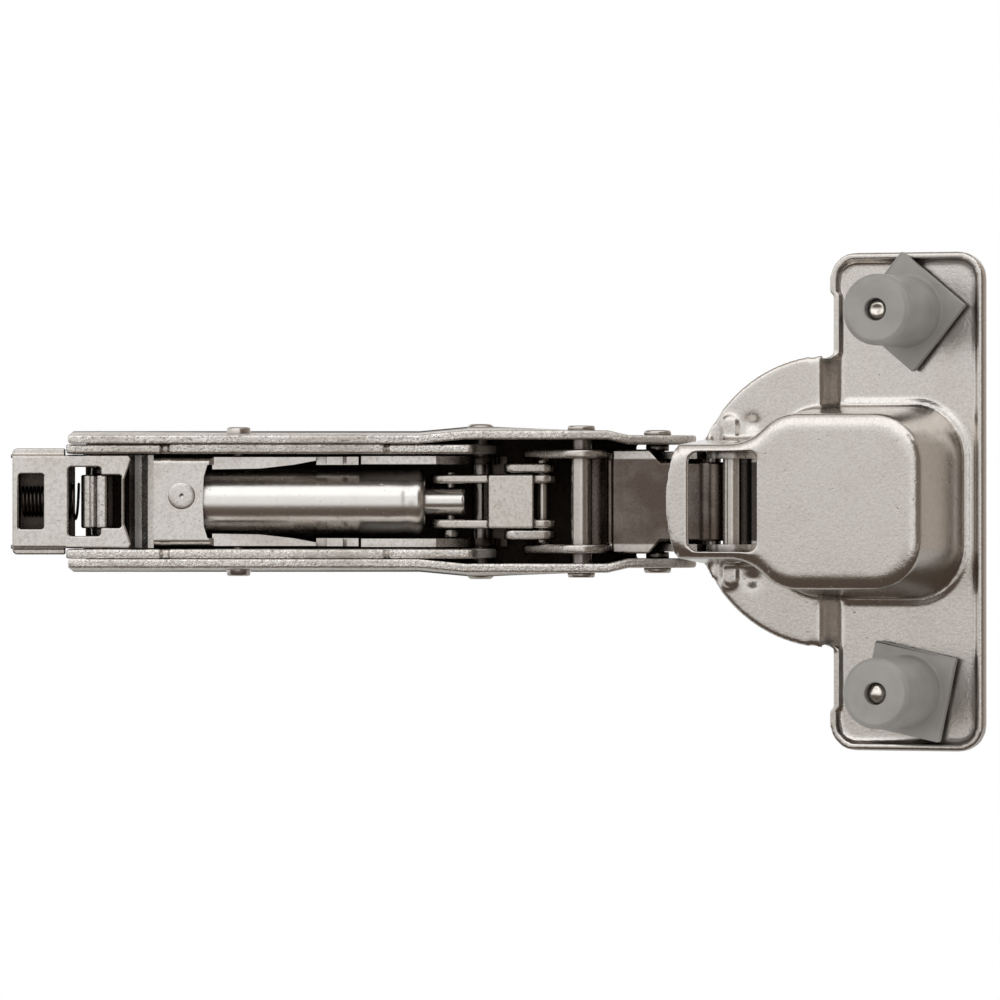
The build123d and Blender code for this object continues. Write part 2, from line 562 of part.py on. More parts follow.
tan_draft = tan(radians(draft))
tan_end = tan(radians(end_draft))
top_inset = cup_height * tan_draft
top_end = cup_height * tan_end
outer = loft([Pos(0, 0, cup_base) * cup_outline(0, 0, box_corner + 0.3),
              Pos(0, 0, cup_depth) * cup_outline(top_inset, top_end, box_corner)], ruled=True)
outer = fillet(outer.edges().group_by(Axis.Z)[-1], top_round)
round_end = Pos(0, 0, -5) * extrude(Circle(17.3), 30) + Pos(20, 0, 5) * Box(40, 60, 40)
outer = outer & round_end
low_n = cup_base - 1.0
high_n = cup_depth - cup_sheet
hollow_deep = high_n - cup_base
inner_corner = box_corner - cup_sheet
low = cup_outline(cup_sheet - tan_draft, cup_sheet - tan_end, inner_corner + 0.3)
high = cup_outline(cup_sheet + hollow_deep * tan_draft, cup_sheet + hollow_deep * tan_end, inner_corner)
hollow = loft([Pos(0, 0, low_n) * low, Pos(0, 0, high_n) * high], ruled=True)
hollow = fillet(hollow.edges().group_by(Axis.Z)[-1], 0.5)

flange_u = (plate_u0 + plate_u1) / 2
flange_len = plate_u1 - plate_u0
flange = Pos(flange_u, 0, -1.6) * extrude(RectangleRounded(flange_len, 2 * plate_half, plate_corner), 1.6)
pocket = Pos(flange_u, 0, -rim_h) * extrude(
    RectangleRounded(flange_len - 2 * rim_w, 2 * (plate_half - rim_w), plate_corner - rim_w), 2)
tab = Pos(-0.9, 0, -1.6) * extrude(RectangleRounded(2.4, 34.6, 0.8), 0.9)
disc_plate = Pos(0, 0, disc_n - 0.9) * extrude(Circle(cup_disc_r), 0.9)
disc_plate = disc_plate - Pos(19.0, 0, 0) * Box(40, 60, 20)
ramp_face = make_face(Polyline((-1.05, disc_n), (-1.05, disc_n - 0.9), (0.2, -1.6), (1.0, -1.6), (1.0, -0.7),
                               (0.55, -0.7), close=True))
ramp = extrude(Plane(origin=(0, 0, 0), x_dir=(1, 0, 0), z_dir=(0, -1, 0)) * ramp_face, 17.35, both=True)
cup = flange - pocket + tab + disc_plate + ramp + outer
for side_sign in (1, -1):
    hump = extrude(SlotCenterToCenter(1.2, 1.9, rotation=90), 0.75)
    hump = Pos(-12.4, side_sign * 8.7, disc_n - 0.3) * hump
    cup = cup + fillet(hump.edges().group_by(Axis.Z)[-1], 0.35)
cup = cup - hollow
entry_top = cup_depth - 0.9
cup = cup - Pos(-18.5, 0, (entry_top - 3.0) / 2) * Box(8.2, 12.1, entry_top + 3.0)
window = Pos(-10.1, 0, entry_top - 1.2) * extrude(RectangleRounded(8.6, 11.9, 1.2), 4)
cup = cup - window
rear_hole = Plane(origin=(rear_cup_uv[0], 0, rear_cup_uv[1]), x_dir=(1, 0, 0), z_dir=(0, -1, 0))
front_hole = Plane(origin=(front_cup_uv[0], 0, front_cup_uv[1]), x_dir=(1, 0, 0), z_dir=(0, -1, 0))
cup = cup - extrude(rear_hole * Circle(rear_cup_pin_r + 0.005), 12, both=True)
cup = cup - extrude(front_hole * Circle(front_cup_pin_r + 0.005), 12, both=True)
for side_sign in (1, -1):
    spot = Pos(dowel_u, side_sign * dowel_pitch / 2, 0)
    cup = cup - spot * Pos(0, 0, -3) * extrude(Circle(1.9), 4)
    cup = cup - spot * Pos(0, 0, -1.6) * Cone(3.1, 1.9, 0.6, align=from_base)
to_row = cup_plane.location
nodes["cup_body"] = to_row * cup


def wall_half(n):
    return neck_half - (n - cup_base) * tan_draft


nodes["rear_link_cup_pin"] = across(disc(rear_cup_pivot, rear_cup_pin_r), wall_half(rear_cup_uv[1]) - 0.12)
front_pin_half = wall_half(front_cup_uv[1]) - 0.14
nodes["front_link_cup_pin"] = across(disc(front_cup_pivot, front_cup_pin_r), front_pin_half)

# ---- dowels and their screws -------------------------------------------------


def dowel(side_sign, turn):
    spot = Pos(dowel_u, side_sign * dowel_pitch / 2, 0)
    boss = Pos(0, 0, -rim_h) * extrude(Circle(dowel_boss_r), rim_h + 0.02)
    square = Rot(0, 0, turn) * extrude(RectangleRounded(dowel_square, dowel_square, 0.25), dowel_plate)
    stem = extrude(Circle(dowel_r), dowel_tip)
    stem = chamfer(stem.edges().group_by(Axis.Z)[-1], dowel_chamfer)
    body = boss + square + stem
    foot = [e for e in body.edges().filter_by(GeomType.CIRCLE) if abs(e.radius - dowel_r) < 0.001]
    body = fillet(ShapeList(foot).sort_by(Axis.Z)[0], dowel_foot)
    body = body - Pos(0, 0, -2) * extrude(Circle(screw_r + 0.02), 20)
    return to_row * (spot * body)


def dowel_screw(side_sign):
    spot = Pos(dowel_u, side_sign * dowel_pitch / 2, 0)
    shank = Pos(0, 0, -1.6) * extrude(Circle(screw_r), dowel_tip + 1.6 - 0.9)
    head = Pos(0, 0, -1.6) * Cone(3.05, 1.85, 0.6, align=from_base)
    head = head + Pos(0, 0, -1.0) * extrude(Circle(1.85), 0.28)
    point = Pos(0, 0, dowel_tip - 0.9) * Cone(screw_r, 0.5, 0.7, align=from_base)
    drive = Pos(0, 0, -1.7) * extrude(Rectangle(3.2, 0.6) + Rectangle(0.6, 3.2), 0.8)
    return to_row * (spot * (shank + head + point - drive))


nodes["dowel_upper"] = dowel(1, dowel_upper_turn)
nodes["dowel_lower"] = dowel(-1, dowel_lower_turn)
nodes["dowel_screw_upper"] = dowel_screw(1)
nodes["dowel_screw_lower"] = dowel_screw(-1)

# ---- export ------------------------------------------------------------------
os.makedirs("parts", exist_ok=True)
for name, shape in nodes.items():
    solids = shape.solids()
    print(name, len(solids), round(sum(s.volume for s in solids), 2), shape.is_valid)
    export_step(shape, "parts/" + name + ".step")
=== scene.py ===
import json
import math

import bmesh
import bpy
import numpy as np
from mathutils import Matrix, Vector


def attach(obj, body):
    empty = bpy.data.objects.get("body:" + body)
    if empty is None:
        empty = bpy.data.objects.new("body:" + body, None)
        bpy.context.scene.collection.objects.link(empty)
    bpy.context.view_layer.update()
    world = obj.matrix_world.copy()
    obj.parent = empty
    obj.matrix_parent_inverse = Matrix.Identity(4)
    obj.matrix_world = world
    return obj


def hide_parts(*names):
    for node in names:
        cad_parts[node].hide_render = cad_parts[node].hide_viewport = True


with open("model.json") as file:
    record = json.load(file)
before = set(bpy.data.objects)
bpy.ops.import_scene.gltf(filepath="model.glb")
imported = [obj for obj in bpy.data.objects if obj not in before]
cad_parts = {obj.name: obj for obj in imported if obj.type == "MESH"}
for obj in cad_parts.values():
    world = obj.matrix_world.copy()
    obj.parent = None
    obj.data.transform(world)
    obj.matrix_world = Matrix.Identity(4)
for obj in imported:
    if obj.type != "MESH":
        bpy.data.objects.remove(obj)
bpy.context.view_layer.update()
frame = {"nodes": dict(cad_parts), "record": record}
nodes = frame["nodes"]
bodyOf = {node: body for body, names in frame["record"]["behaviour"]["bodies"].items() for node in names}
mm = 0.001
print("frame loaded:", len(nodes), "nodes")


class Sock:
    # an output socket; the operators add Math nodes to its tree

    def __init__(self, tree, out):
        self.tree = tree
        self.out = out

    def node(self, operation, *values):
        return self.tree.add("ShaderNodeMath", {"operation": operation}, values)[0]

    def __add__(self, other):
        return self.node("ADD", self, other)

    def __radd__(self, other):
        return self.node("ADD", other, self)

    def __sub__(self, other):
        return self.node("SUBTRACT", self, other)

    def __rsub__(self, other):
        return self.node("SUBTRACT", other, self)

    def __mul__(self, other):
        return self.node("MULTIPLY", self, other)

    def above(self, low, high):
        # 0 below low, 1 above high, smooth between
        made = self.tree.add("ShaderNodeMapRange", {"interpolation_type": "SMOOTHSTEP"},
                             {"Value": self, "From Min": low, "From Max": high})
        return made[0]


class Tree:
    def __init__(self, owner):
        owner.use_nodes = True
        self.nodes = owner.node_tree.nodes
        self.links = owner.node_tree.links
        self.nodes.clear()

    def add(self, kind, settings=None, values=None):
        # one node: its settings first, then the values or links of its inputs
        node = self.nodes.new(kind)
        for key, value in (settings or {}).items():
            setattr(node, key, value)
        pairs = values.items() if isinstance(values, dict) else enumerate(values or [])
        for key, value in pairs:
            if isinstance(value, Sock):
                self.links.new(value.out, node.inputs[key])
            elif isinstance(value, tuple) and node.inputs[key].type == "RGBA":
                node.inputs[key].default_value = (*value, 1)
            else:
                node.inputs[key].default_value = value
        return [Sock(self, out) for out in node.outputs]

    def mixColour(self, factor, low, high):
        # Mix in colour mode keeps its factor in input 0 and its two colours in 6 and 7
        return self.add("ShaderNodeMix", {"data_type": "RGBA"}, {0: factor, 6: low, 7: high})[2]

    def noise(self, place, scale, detail=2.0, roughness=0.5):
        return self.add("ShaderNodeTexNoise", None, {"Vector": place, "Scale": scale, "Detail": detail,
                                                     "Roughness": roughness})[0]


def metalFinish(name, look):
    # plated metal: grain, stains, drawn strokes, pits, and painted shade: colour darkened in the hollows, by
    # ambient occlusion, and beyond deepFrom.
    # The painted shade beyond deepFrom goes by depth alone, so it lies on the outer back of the arm too.
    look = dict(plate, **look)
    material = bpy.data.materials.new(name)
    t = Tree(material)
    place = t.add("ShaderNodeTexCoord")[3]
    x, y, z = t.add("ShaderNodeSeparateXYZ", None, [place])[:3]
    grain = t.noise(place, look["grainScale"], 3.0, 0.65)
    fine = t.noise(place, look["fineScale"], 2.0, 0.6)
    stain = t.noise(place, look["stainScale"], 4.0, 0.62)
    pits = t.noise(place, look["pitScale"]).above(look["pitFrom"], look["pitFrom"] + 0.08)
    drawn = t.add("ShaderNodeMapping", None, {"Vector": place, "Scale": look["drawn"]})[0]
    strokes = t.noise(drawn, look["strokeScale"])
    # painted shade in the hollows: colour darkens where ambient occlusion finds the surface enclosed, from
    # shadeNear on
    openness = t.add("ShaderNodeAmbientOcclusion", {"samples": 6}, {"Distance": look["hollowReach"]})[1]
    hollow = (1.0 - openness.above(look["hollowFrom"], look["hollowTo"])) * look["hollow"]
    hollow = hollow * y.above(look["shadeNear"] * mm, (look["shadeNear"] + 4.0) * mm)
    # painted shade by depth: colour darkens beyond deepFrom, and only behind deepFront
    deep = y.above(look["deepFrom"] * mm, look["deepTo"] * mm) * look["deep"]
    deep = deep * (1.0 - x.above(look["deepFront"] * mm, (look["deepFront"] + 0.6) * mm))
    paintedShade = hollow.node("MAXIMUM", hollow, deep)
    if "middleHalf" in look:
        # painted shade: a darker field between the two ears, lifted in random patches
        across = z.node("ABSOLUTE", z).above(look["middleHalf"] * mm, (look["middleHalf"] + 0.25) * mm)
        behind = x.above(look["middleFrom"] * mm, (look["middleFrom"] + 0.4) * mm)
        shadeGaps = stain.above(0.40, 0.66) * look["middleShadeGaps"]
        paintedShade = paintedShade.node("MAXIMUM", paintedShade, (1.0 - across) * behind * (1.0 - shadeGaps) * look["middle"])
    stained = t.mixColour(stain.above(0.42, 0.72) * look["stain"], look["colour"], look["stainColour"])
    grained = t.mixColour(fine.above(0.3, 0.8) * look["fine"], stained, look["fineColour"])
    speckled = t.mixColour(grain.above(0.40, 0.75) * look["speckle"], grained, look["dark"])
    pitted = t.mixColour(pits * look["pits"], speckled, look["dark"])
    # the painted shade mixes the colour towards shadeColour
    colour = t.mixColour(paintedShade, pitted, look["shadeColour"])
    walls = y.above(look["wallFrom"] * mm, (look["wallFrom"] + 0.8) * mm) * look["wallRough"]
    rough = look["rough"] + walls + (grain - 0.5) * look["roughSpread"] + pits * 0.15 + (stain - 0.5) * 0.1
    height = grain * look["grainBump"] + fine * look["fineBump"]
    height = height + strokes * look["strokeBump"] - pits * look["pitBump"]
    bump = t.add("ShaderNodeBump", None,
                 {"Strength": look["bump"], "Distance": look["relief"] * mm, "Height": height})[0]
    shader = t.add("ShaderNodeBsdfPrincipled", None,
                   {"Base Color": colour, "Metallic": 1.0, "Roughness": rough, "Normal": bump})
    t.add("ShaderNodeOutputMaterial", None, {"Surface": shader[0]})
    return material


# the hollow*, deep* and middle* values and shadeColour set the painted shade; the rest is the metal's own
# colour and texture
plate = {"colour": (0.70, 0.67, 0.635), "dark": (0.20, 0.165, 0.14), "stainColour": (0.60, 0.56, 0.51),
         "fineColour": (0.50, 0.46, 0.42), "shadeColour": (0.030, 0.021, 0.016), "grainScale": 2600.0,
         "fineScale": 6500.0, "stainScale": 130.0, "pitScale": 1900.0, "pitFrom": 0.70,
         "drawn": (1, 1, 1), "strokeScale": 700.0, "stain": 0.5, "fine": 0.45, "speckle": 0.22,
         "pits": 0.35, "rough": 0.26, "roughSpread": 0.14, "grainBump": 0.5, "fineBump": 0.25,
         "strokeBump": 0.1, "pitBump": 0.5, "bump": 0.8, "hollow": 0.9, "hollowReach": 5.0 * mm,
         "hollowFrom": 0.12, "hollowTo": 0.62, "deep": 0.0, "deepFrom": 20.0, "deepTo": 30.0,
         "wallFrom": 20.0, "wallRough": 0.0, "relief": 0.03, "shadeNear": -90.0, "deepFront": 90.0}
looks = {
    "plate": {},
    "arm": {"colour": (0.95, 0.92, 0.88), "speckle": 0.3, "pits": 0.5, "pitFrom": 0.60,
            "pitScale": 3800.0, "stain": 0.7, "fine": 0.6, "rough": 0.28, "grainBump": 1.2,
            "fineBump": 1.0, "bump": 1.0, "hollow": 0.93, "hollowFrom": 0.08, "hollowTo": 0.5,
            "deep": 0.985, "deepFrom": 8.0, "deepTo": 12.0, "wallFrom": 4.7, "wallRough": 0.35,
            "relief": 0.05, "shadeNear": 4.6},
    "slide": {"speckle": 0.28, "stain": 0.6, "deep": 0.96, "deepFrom": 5.3, "deepTo": 7.0},
    "bracket": {"speckle": 0.2, "stain": 0.75, "stainColour": (0.50, 0.45, 0.41), "deep": 0.9,
                "deepFrom": 4.8, "deepTo": 7.2, "deepFront": -80.6, "shadeColour": (0.055, 0.040, 0.031),
                "hollowFrom": 0.1, "hollowTo": 0.5},
    "catch": {"speckle": 0.4, "pits": 0.6, "pitFrom": 0.62, "pitScale": 3600.0, "deep": 0.75,
              "deepFrom": 6.2, "deepTo": 8.2},
    "cup": {"speckle": 0.12, "pits": 0.2, "stain": 0.35, "fine": 0.5, "rough": 0.19, "bump": 0.9,
            "relief": 0.045, "hollow": 0.8, "hollowReach": 4.0 * mm, "hollowFrom": 0.08,
            "hollowTo": 0.55},
    "rearLink": {"stain": 0.9, "rough": 0.27, "speckle": 0.3, "hollow": 0.95, "hollowFrom": 0.25,
                 "hollowTo": 0.85, "shadeColour": (0.075, 0.050, 0.036), "middleHalf": 5.0,
                 "middleFrom": -27.6, "middle": 0.93, "middleShadeGaps": 0.16, "deep": 0.8, "deepFrom": 7.5,
                 "deepTo": 9.5},
    "frontLink": {"stain": 0.9, "rough": 0.27, "speckle": 0.3, "hollow": 0.97, "hollowFrom": 0.25,
                  "hollowTo": 0.85, "middleHalf": 4.6, "middleFrom": -40.0, "middle": 0.96,
                  "middleShadeGaps": 0.05, "deep": 0.9, "deepFrom": 6.0, "deepTo": 9.0},
    "clevis": {"colour": (0.62, 0.585, 0.545), "speckle": 0.3, "hollow": 0.85},
    "spring": {"speckle": 0.3, "stain": 0.8, "deep": 0.97, "deepFrom": 8.0, "deepTo": 11.0},
    "pin": {"colour": (0.60, 0.565, 0.53), "stain": 0.3, "speckle": 0.1, "pits": 0.15, "rough": 0.20,
            "roughSpread": 0.05, "grainBump": 0.3, "drawn": (1, 1, 0.05), "hollow": 0.9, "hollowFrom": 0.15,
            "hollowTo": 0.7},
    "tube": {"colour": (0.78, 0.76, 0.73), "stain": 0.12, "speckle": 0.04, "pits": 0.05, "fine": 0.12,
             "rough": 0.24, "roughSpread": 0.05, "grainBump": 0.1, "fineBump": 0.1, "strokeBump": 0.3,
             "drawn": (0.04, 1, 1), "hollow": 0.12, "hollowFrom": 0.05, "hollowTo": 0.3},
    "wire": {"colour": (0.09, 0.075, 0.065), "stainColour": (0.14, 0.11, 0.09), "dark": (0.02, 0.02, 0.02),
             "fineColour": (0.05, 0.04, 0.04), "rough": 0.32, "hollow": 0.5},
    "screw": {"colour": (0.80, 0.76, 0.70), "speckle": 0.2, "pits": 0.5, "rough": 0.30, "hollow": 0.2},
}
finishes = {key: metalFinish(key + "Metal", look) for key, look in looks.items()}


def dowelFinish():
    # satin moulded plastic, faintly clouded, with a mould grain and fine scuffs
    material = bpy.data.materials.new("dowelPlastic")
    t = Tree(material)
    place = t.add("ShaderNodeTexCoord")[3]
    cloud = t.noise(place, 300.0, 3.0)
    grain = t.noise(place, 3800.0)
    drawn = t.add("ShaderNodeMapping", None, {"Vector": place, "Scale": (1, 0.15, 1)})[0]
    scuff = t.noise(drawn, 2400.0, 3.0)
    scuffs = scuff.above(0.66, 0.76)
    base = t.mixColour(cloud.above(0.3, 0.7), (0.34, 0.33, 0.315), (0.40, 0.388, 0.372))
    colour = t.mixColour(scuffs * 0.4, base, (0.52, 0.51, 0.50))
    bump = t.add("ShaderNodeBump", None,
                 {"Strength": 0.4, "Distance": 0.02 * mm, "Height": grain + scuffs * 0.5})[0]
    shader = t.add("ShaderNodeBsdfPrincipled", None,
                   {"Base Color": colour, "Roughness": 0.40 + (grain - 0.5) * 0.15, "Normal": bump})
    t.add("ShaderNodeOutputMaterial", None, {"Surface": shader[0]})
    return material


finishes["dowel"] = dowelFinish()
print("finishes made:", len(finishes))

nodeFinish = {
    "arm_channel": "arm", "inner_channel": "arm", "rear_link": "rearLink", "front_link": "frontLink",
    "cup_body": "cup", "damper_bracket": "bracket", "release_slide": "slide", "catch_hook": "catch",
    "clevis": "clevis", "closing_spring": "spring", "damper_cylinder": "tube", "damper_cap": "tube",
    "damper_piston": "tube", "piston_rod": "tube", "release_spring": "wire", "dowel_upper": "dowel",
    "dowel_lower": "dowel", "dowel_screw_upper": "screw", "dowel_screw_lower": "screw",
    "bracket_rivet": "plate",
}
for name, node in nodes.items():
    node.data.materials.clear()
    node.data.materials.append(finishes[nodeFinish.get(name, "pin")])
print("finishes set on the frame")


def newPiece(name, mesh, node):
    # a mesh that stands for a node: smooth, in its finish, on its body
    mesh.polygons.foreach_set("use_smooth", np.ones(len(mesh.polygons), bool))
    mesh.materials.clear()
    mesh.materials.append(finishes[nodeFinish.get(node, "pin")])
    piece = bpy.data.objects.new(name, mesh)
    bpy.context.scene.collection.objects.link(piece)
    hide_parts(node)
    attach(piece, bodyOf[node])
    return piece


def pointsOf(mesh):
    co = np.empty(len(mesh.vertices) * 3)
    mesh.vertices.foreach_get("co", co)
    return co.reshape(-1, 3) / mm


def closedMesh(name, co, faces):
    # a mesh from points in mm, with its double points joined and its faces turned outward
    mesh = bpy.data.meshes.new(name)
    mesh.from_pydata((co.reshape(-1, 3) * mm).tolist(), [], faces)
    bm = bmesh.new()
    bm.from_mesh(mesh)
    bmesh.ops.remove_doubles(bm, verts=bm.verts, dist=0.0001 * mm)
    bmesh.ops.recalc_face_normals(bm, faces=bm.faces)
    bm.to_mesh(mesh)
    bm.free()
    return mesh


def smoothStep(x, low, high):
    # 3 t^2 - 2 t^3 with t running from 0 at low to 1 at high
    t = np.clip((x - low) / (high - low), 0, 1)
    return t * t * (3 - 2 * t)


def mergedMesh(node, cuts=()):
    # the node's triangles as one closed mesh, its flat faces joined, then cut along planes of constant z
    mesh = nodes[node].data.copy()
    bm = bmesh.new()
    bm.from_mesh(mesh)
    bmesh.ops.remove_doubles(bm, verts=bm.verts, dist=0.001 * mm)
    bmesh.ops.dissolve_limit(bm, angle_limit=math.radians(0.6), verts=bm.verts, edges=bm.edges)
    for z in cuts:
        everything = bm.verts[:] + bm.edges[:] + bm.faces[:]
        bmesh.ops.bisect_plane(bm, geom=everything, dist=0.0001 * mm,
                               plane_co=(0, 0, z * mm), plane_no=(0, 0, 1))
    bm.to_mesh(mesh)
    bm.free()
    return mesh


# the arm's walls lean out towards its back, and the slide's wings lie lower than its face
lean = {"perMm": 0.055, "near": 3.0, "depth": 9.5, "wallFrom": 6.7, "front": (-34.0, -30.0)}
wings = {"foldFrom": 5.45, "foldTo": 5.62, "front": -91.7, "faceTo": 4.6, "drop": 0.55,
         "cheek": (5.2, 5.44), "cheekDepth": 6.0, "cheekTo": 5.6}
# the channel rivets' heads stand a little further out
heads = {"from": 8.3, "out": 0.42}


def leanWalls(co):
    # z grows by perMm for each mm of depth, on the walls behind the flare
    amount = lean["perMm"] * np.clip(co[:, 1] - lean["near"], 0, lean["depth"])
    amount = amount * (np.abs(co[:, 2]) > lean["wallFrom"])
    amount = amount * (1 - smoothStep(co[:, 0], *lean["front"]))
    co[:, 2] += np.sign(co[:, 2]) * amount


def lowerWings(co):
    # sets the near face of the two wings back, and moves the cheeks in front of them outward
    outer = (np.abs(co[:, 2]) > wings["foldTo"] - 0.01) & (co[:, 0] < wings["front"])
    co[:, 1] += wings["drop"] * (outer & (co[:, 1] < wings["faceTo"]))
    z = np.abs(co[:, 2])
    cheek = (z > wings["cheek"][0]) & (z < wings["cheek"][1]) & (co[:, 0] > wings["front"] - 0.1)
    cheek &= co[:, 1] < wings["cheekDepth"]
    co[:, 2] = np.where(cheek, np.sign(co[:, 2]) * wings["cheekTo"], co[:, 2])


def raiseHeads(co):
    # moves the two outer ends of the rivets outward
    co[:, 2] += np.sign(co[:, 2]) * heads["out"] * (np.abs(co[:, 2]) > heads["from"])


reshaped = {"channel_rivet_upper": ((), raiseHeads), "channel_rivet_lower": ((), raiseHeads),
            "arm_channel": ((), leanWalls),
            "release_slide": ([s * wings[k] for s in (-1, 1) for k in ("foldFrom", "foldTo")], lowerWings)}
# how far the cut edges of each piece are rounded, in mm
edgeRadius = {
    "arm_channel": 0.32, "inner_channel": 0.30, "release_slide": 0.20,
    "catch_hook": 0.22, "clevis": 0.26, "closing_spring": 0.25, "rear_link": 0.28, "front_link": 0.25,
    "dowel_upper": 0.14, "dowel_lower": 0.14, "piston_rod": 0.22, "rear_link_arm_pin": 0.14,
    "front_link_rivet_upper": 0.14, "front_link_rivet_lower": 0.14, "spring_axle": 0.12, "rod_pin": 0.1,
    "channel_rivet_upper": 0.1, "channel_rivet_lower": 0.1,
}
rounding = {"segments": 3, "sharperThan": math.radians(34), "clamped": ("front_link", "closing_spring")}
for node, radius in edgeRadius.items():
    cuts, move = reshaped.get(node, ((), None))
    mesh = mergedMesh(node, cuts)
    if move:
        co = pointsOf(mesh)
        move(co)
        mesh.vertices.foreach_set("co", (co * mm).ravel())
    piece = newPiece(node + "_rounded", mesh, node)
    bevel = piece.modifiers.new("roundedEdges", "BEVEL")
    bevel.width = radius * mm
    bevel.segments = rounding["segments"]
    # unclamped, the rounding of these two would run past their thin ends
    bevel.use_clamp_overlap = node in rounding["clamped"]
    bevel.limit_method = "ANGLE"
    bevel.angle_limit = rounding["sharperThan"]
    piece.modifiers.new("evenShading", "WEIGHTED_NORMAL")
print("edges rounded:", len(edgeRadius))


def arc(centre, radius, start, end, count):
    # points at centre + radius (cos a, sin a), with a in degrees from start to end
    a = np.radians(np.linspace(start, end, count))
    return np.column_stack([centre[0] + radius * np.cos(a), centre[1] + radius * np.sin(a)])


def ringQuads(count, around):
    # the faces between count rings of around points each
    rows, cols = np.meshgrid(np.arange(count - 1), np.arange(around), indexing="ij")
    after = (cols + 1) % around
    quads = np.stack([rows * around + cols, (rows + 1) * around + cols, (rows + 1) * around + after,
                      rows * around + after], axis=-1)
    return quads.reshape(-1, 4).tolist()


def turned(name, node, profile, centre, axis, around=96):
    # centre + along axis + r (cos t side + sin t up), for each point (along, r) of the profile
    axis = np.array(axis, float)
    up = np.array([0.0, 0.0, 1.0])
    side = np.cross(up, axis)
    t = np.linspace(0, 2 * np.pi, around, endpoint=False)
    ring = np.cos(t)[:, None] * side + np.sin(t)[:, None] * up
    along, r = profile[:, 0], profile[:, 1]
    co = np.array(centre) + along[:, None, None] * axis + r[:, None, None] * ring
    return newPiece(name, closedMesh(name, co, ringQuads(len(profile), around)), node)


# the damper's tube: its front end is drawn in, then rolled over a ring
tube = {"rear": -76.0, "front": -48.65, "r": 4.05, "wall": 0.6, "drawIn": (-51.8, -51.0), "neckR": 3.99,
        "ringX": -49.75, "ringOut": 4.15, "ringR": 1.05, "mouthR": 2.75, "y": 10.05, "corner": 0.5,
        "base": 0.9, "mouth": (0.3, 1.2), "lipTo": 1.6, "straight": (0.53, 0.3)}
straightX = np.linspace(tube["rear"] + tube["straight"][0], tube["drawIn"][0] - tube["straight"][1], 30)
drawX = np.linspace(tube["drawIn"][0], tube["drawIn"][1], 8)
riseX = np.linspace(tube["drawIn"][1] + 0.1, tube["ringX"] - 0.1, 8)
tubeProfile = np.vstack([
    [[tube["rear"], 0.0]], arc(
        (tube["rear"] + tube["corner"], tube["r"] - tube["corner"]), tube["corner"], 180, 90, 8),
    np.column_stack([straightX, np.full(30, tube["r"])]),
    np.column_stack([drawX, tube["r"] - (tube["r"] - tube["neckR"]) * smoothStep(drawX, *tube["drawIn"])]),
    np.column_stack([riseX, tube["neckR"] + (tube["ringOut"] - tube["neckR"]) * smoothStep(
        riseX, tube["drawIn"][1], tube["ringX"])]),
    arc((tube["ringX"], tube["ringOut"] - tube["ringR"]), tube["ringR"], 90, -20, 14),
    [[tube["front"] - tube["mouth"][0], tube["mouthR"]], [tube["front"] - tube["mouth"][1], tube["mouthR"]],
     [tube["front"] - tube["lipTo"], tube["r"] - tube["wall"]],
     [tube["rear"] + tube["base"], tube["r"] - tube["wall"]], [tube["rear"] + tube["base"], 0.0]]])
turned("damper_tube", "damper_cylinder", tubeProfile, (0, tube["y"], 0), (1, 0, 0), 128)

# the bracket's rivet: a low dome with a punched middle, its shank and its far head
rivet = {"x": -77.85, "z": 0.68, "near": 4.3, "dome": 0.16, "headR": 1.78, "shankR": 1.2, "far": 16.5,
         "farR": 1.85, "farHigh": 0.48, "punchR": 0.22, "punchDeep": 0.18, "edge": 0.22,
         "headDeep": 0.42}
domeR = np.linspace(rivet["punchR"], rivet["headR"] - rivet["edge"], 14)
rivetProfile = np.vstack([
    [[rivet["near"] + rivet["punchDeep"], 0.0], [rivet["near"] + rivet["punchDeep"], 0.06]],
    np.column_stack([rivet["near"] - 0.02 + rivet["dome"] * (domeR / rivet["headR"]) ** 4, domeR]),
    arc((rivet["near"] + 0.36, rivet["headR"] - rivet["edge"]), rivet["edge"], 180, 90, 6)[1:],
    [[rivet["near"] + rivet["headDeep"], rivet["headR"]],
     [rivet["near"] + rivet["headDeep"], rivet["shankR"]],
     [rivet["far"], rivet["shankR"]], [rivet["far"], rivet["farR"]],
     [rivet["far"] + rivet["farHigh"], rivet["farR"]],
     [rivet["far"] + rivet["farHigh"], 0.0]]])
turned("bracket_rivet_turned", "bracket_rivet", rivetProfile, (rivet["x"], 0, rivet["z"]), (0, 1, 0), 72)

# the slide's spring: close turns inside the box, then two wide open ones against the catch
coil = {"rear": -97.1, "open": -91.9, "front": -90.3, "y": 7.15, "wire": 0.17, "r": 1.72, "openR": 2.1,
        "turns": 11.25, "openTurns": 2.0, "perTurn": 26, "around": 8}


def wireCoil():
    # a round wire along (x(t), y + r cos t, r sin t); x runs faster over the open turns
    total = coil["turns"] + coil["openTurns"]
    steps = int(total * coil["perTurn"])
    turn = np.linspace(0, total, steps)
    x = np.interp(turn, [0, coil["turns"], total], [coil["rear"], coil["open"], coil["front"]])
    t = 2 * np.pi * turn
    r = coil["r"] + (coil["openR"] - coil["r"]) * smoothStep(turn, coil["turns"] - 1, coil["turns"] + 0.5)
    path = np.column_stack([x, coil["y"] + r * np.cos(t), r * np.sin(t)])
    ahead = np.gradient(path, axis=0)
    ahead /= np.linalg.norm(ahead, axis=1, keepdims=True)
    outward = np.column_stack([np.zeros(steps), np.cos(t), np.sin(t)])
    third = np.cross(ahead, outward)
    a = np.linspace(0, 2 * np.pi, coil["around"], endpoint=False)
    circle = np.cos(a)[:, None] * outward[:, None] + np.sin(a)[:, None] * third[:, None]
    co = path[:, None] + coil["wire"] * circle
    n = coil["around"]
    ends = [tuple(range(n)), tuple(range(steps * n - 1, (steps - 1) * n - 1, -1))]
    faces = ringQuads(steps, n) + ends
    newPiece("slide_coil", closedMesh("slide_coil", co, faces), "release_spring")


wireCoil()

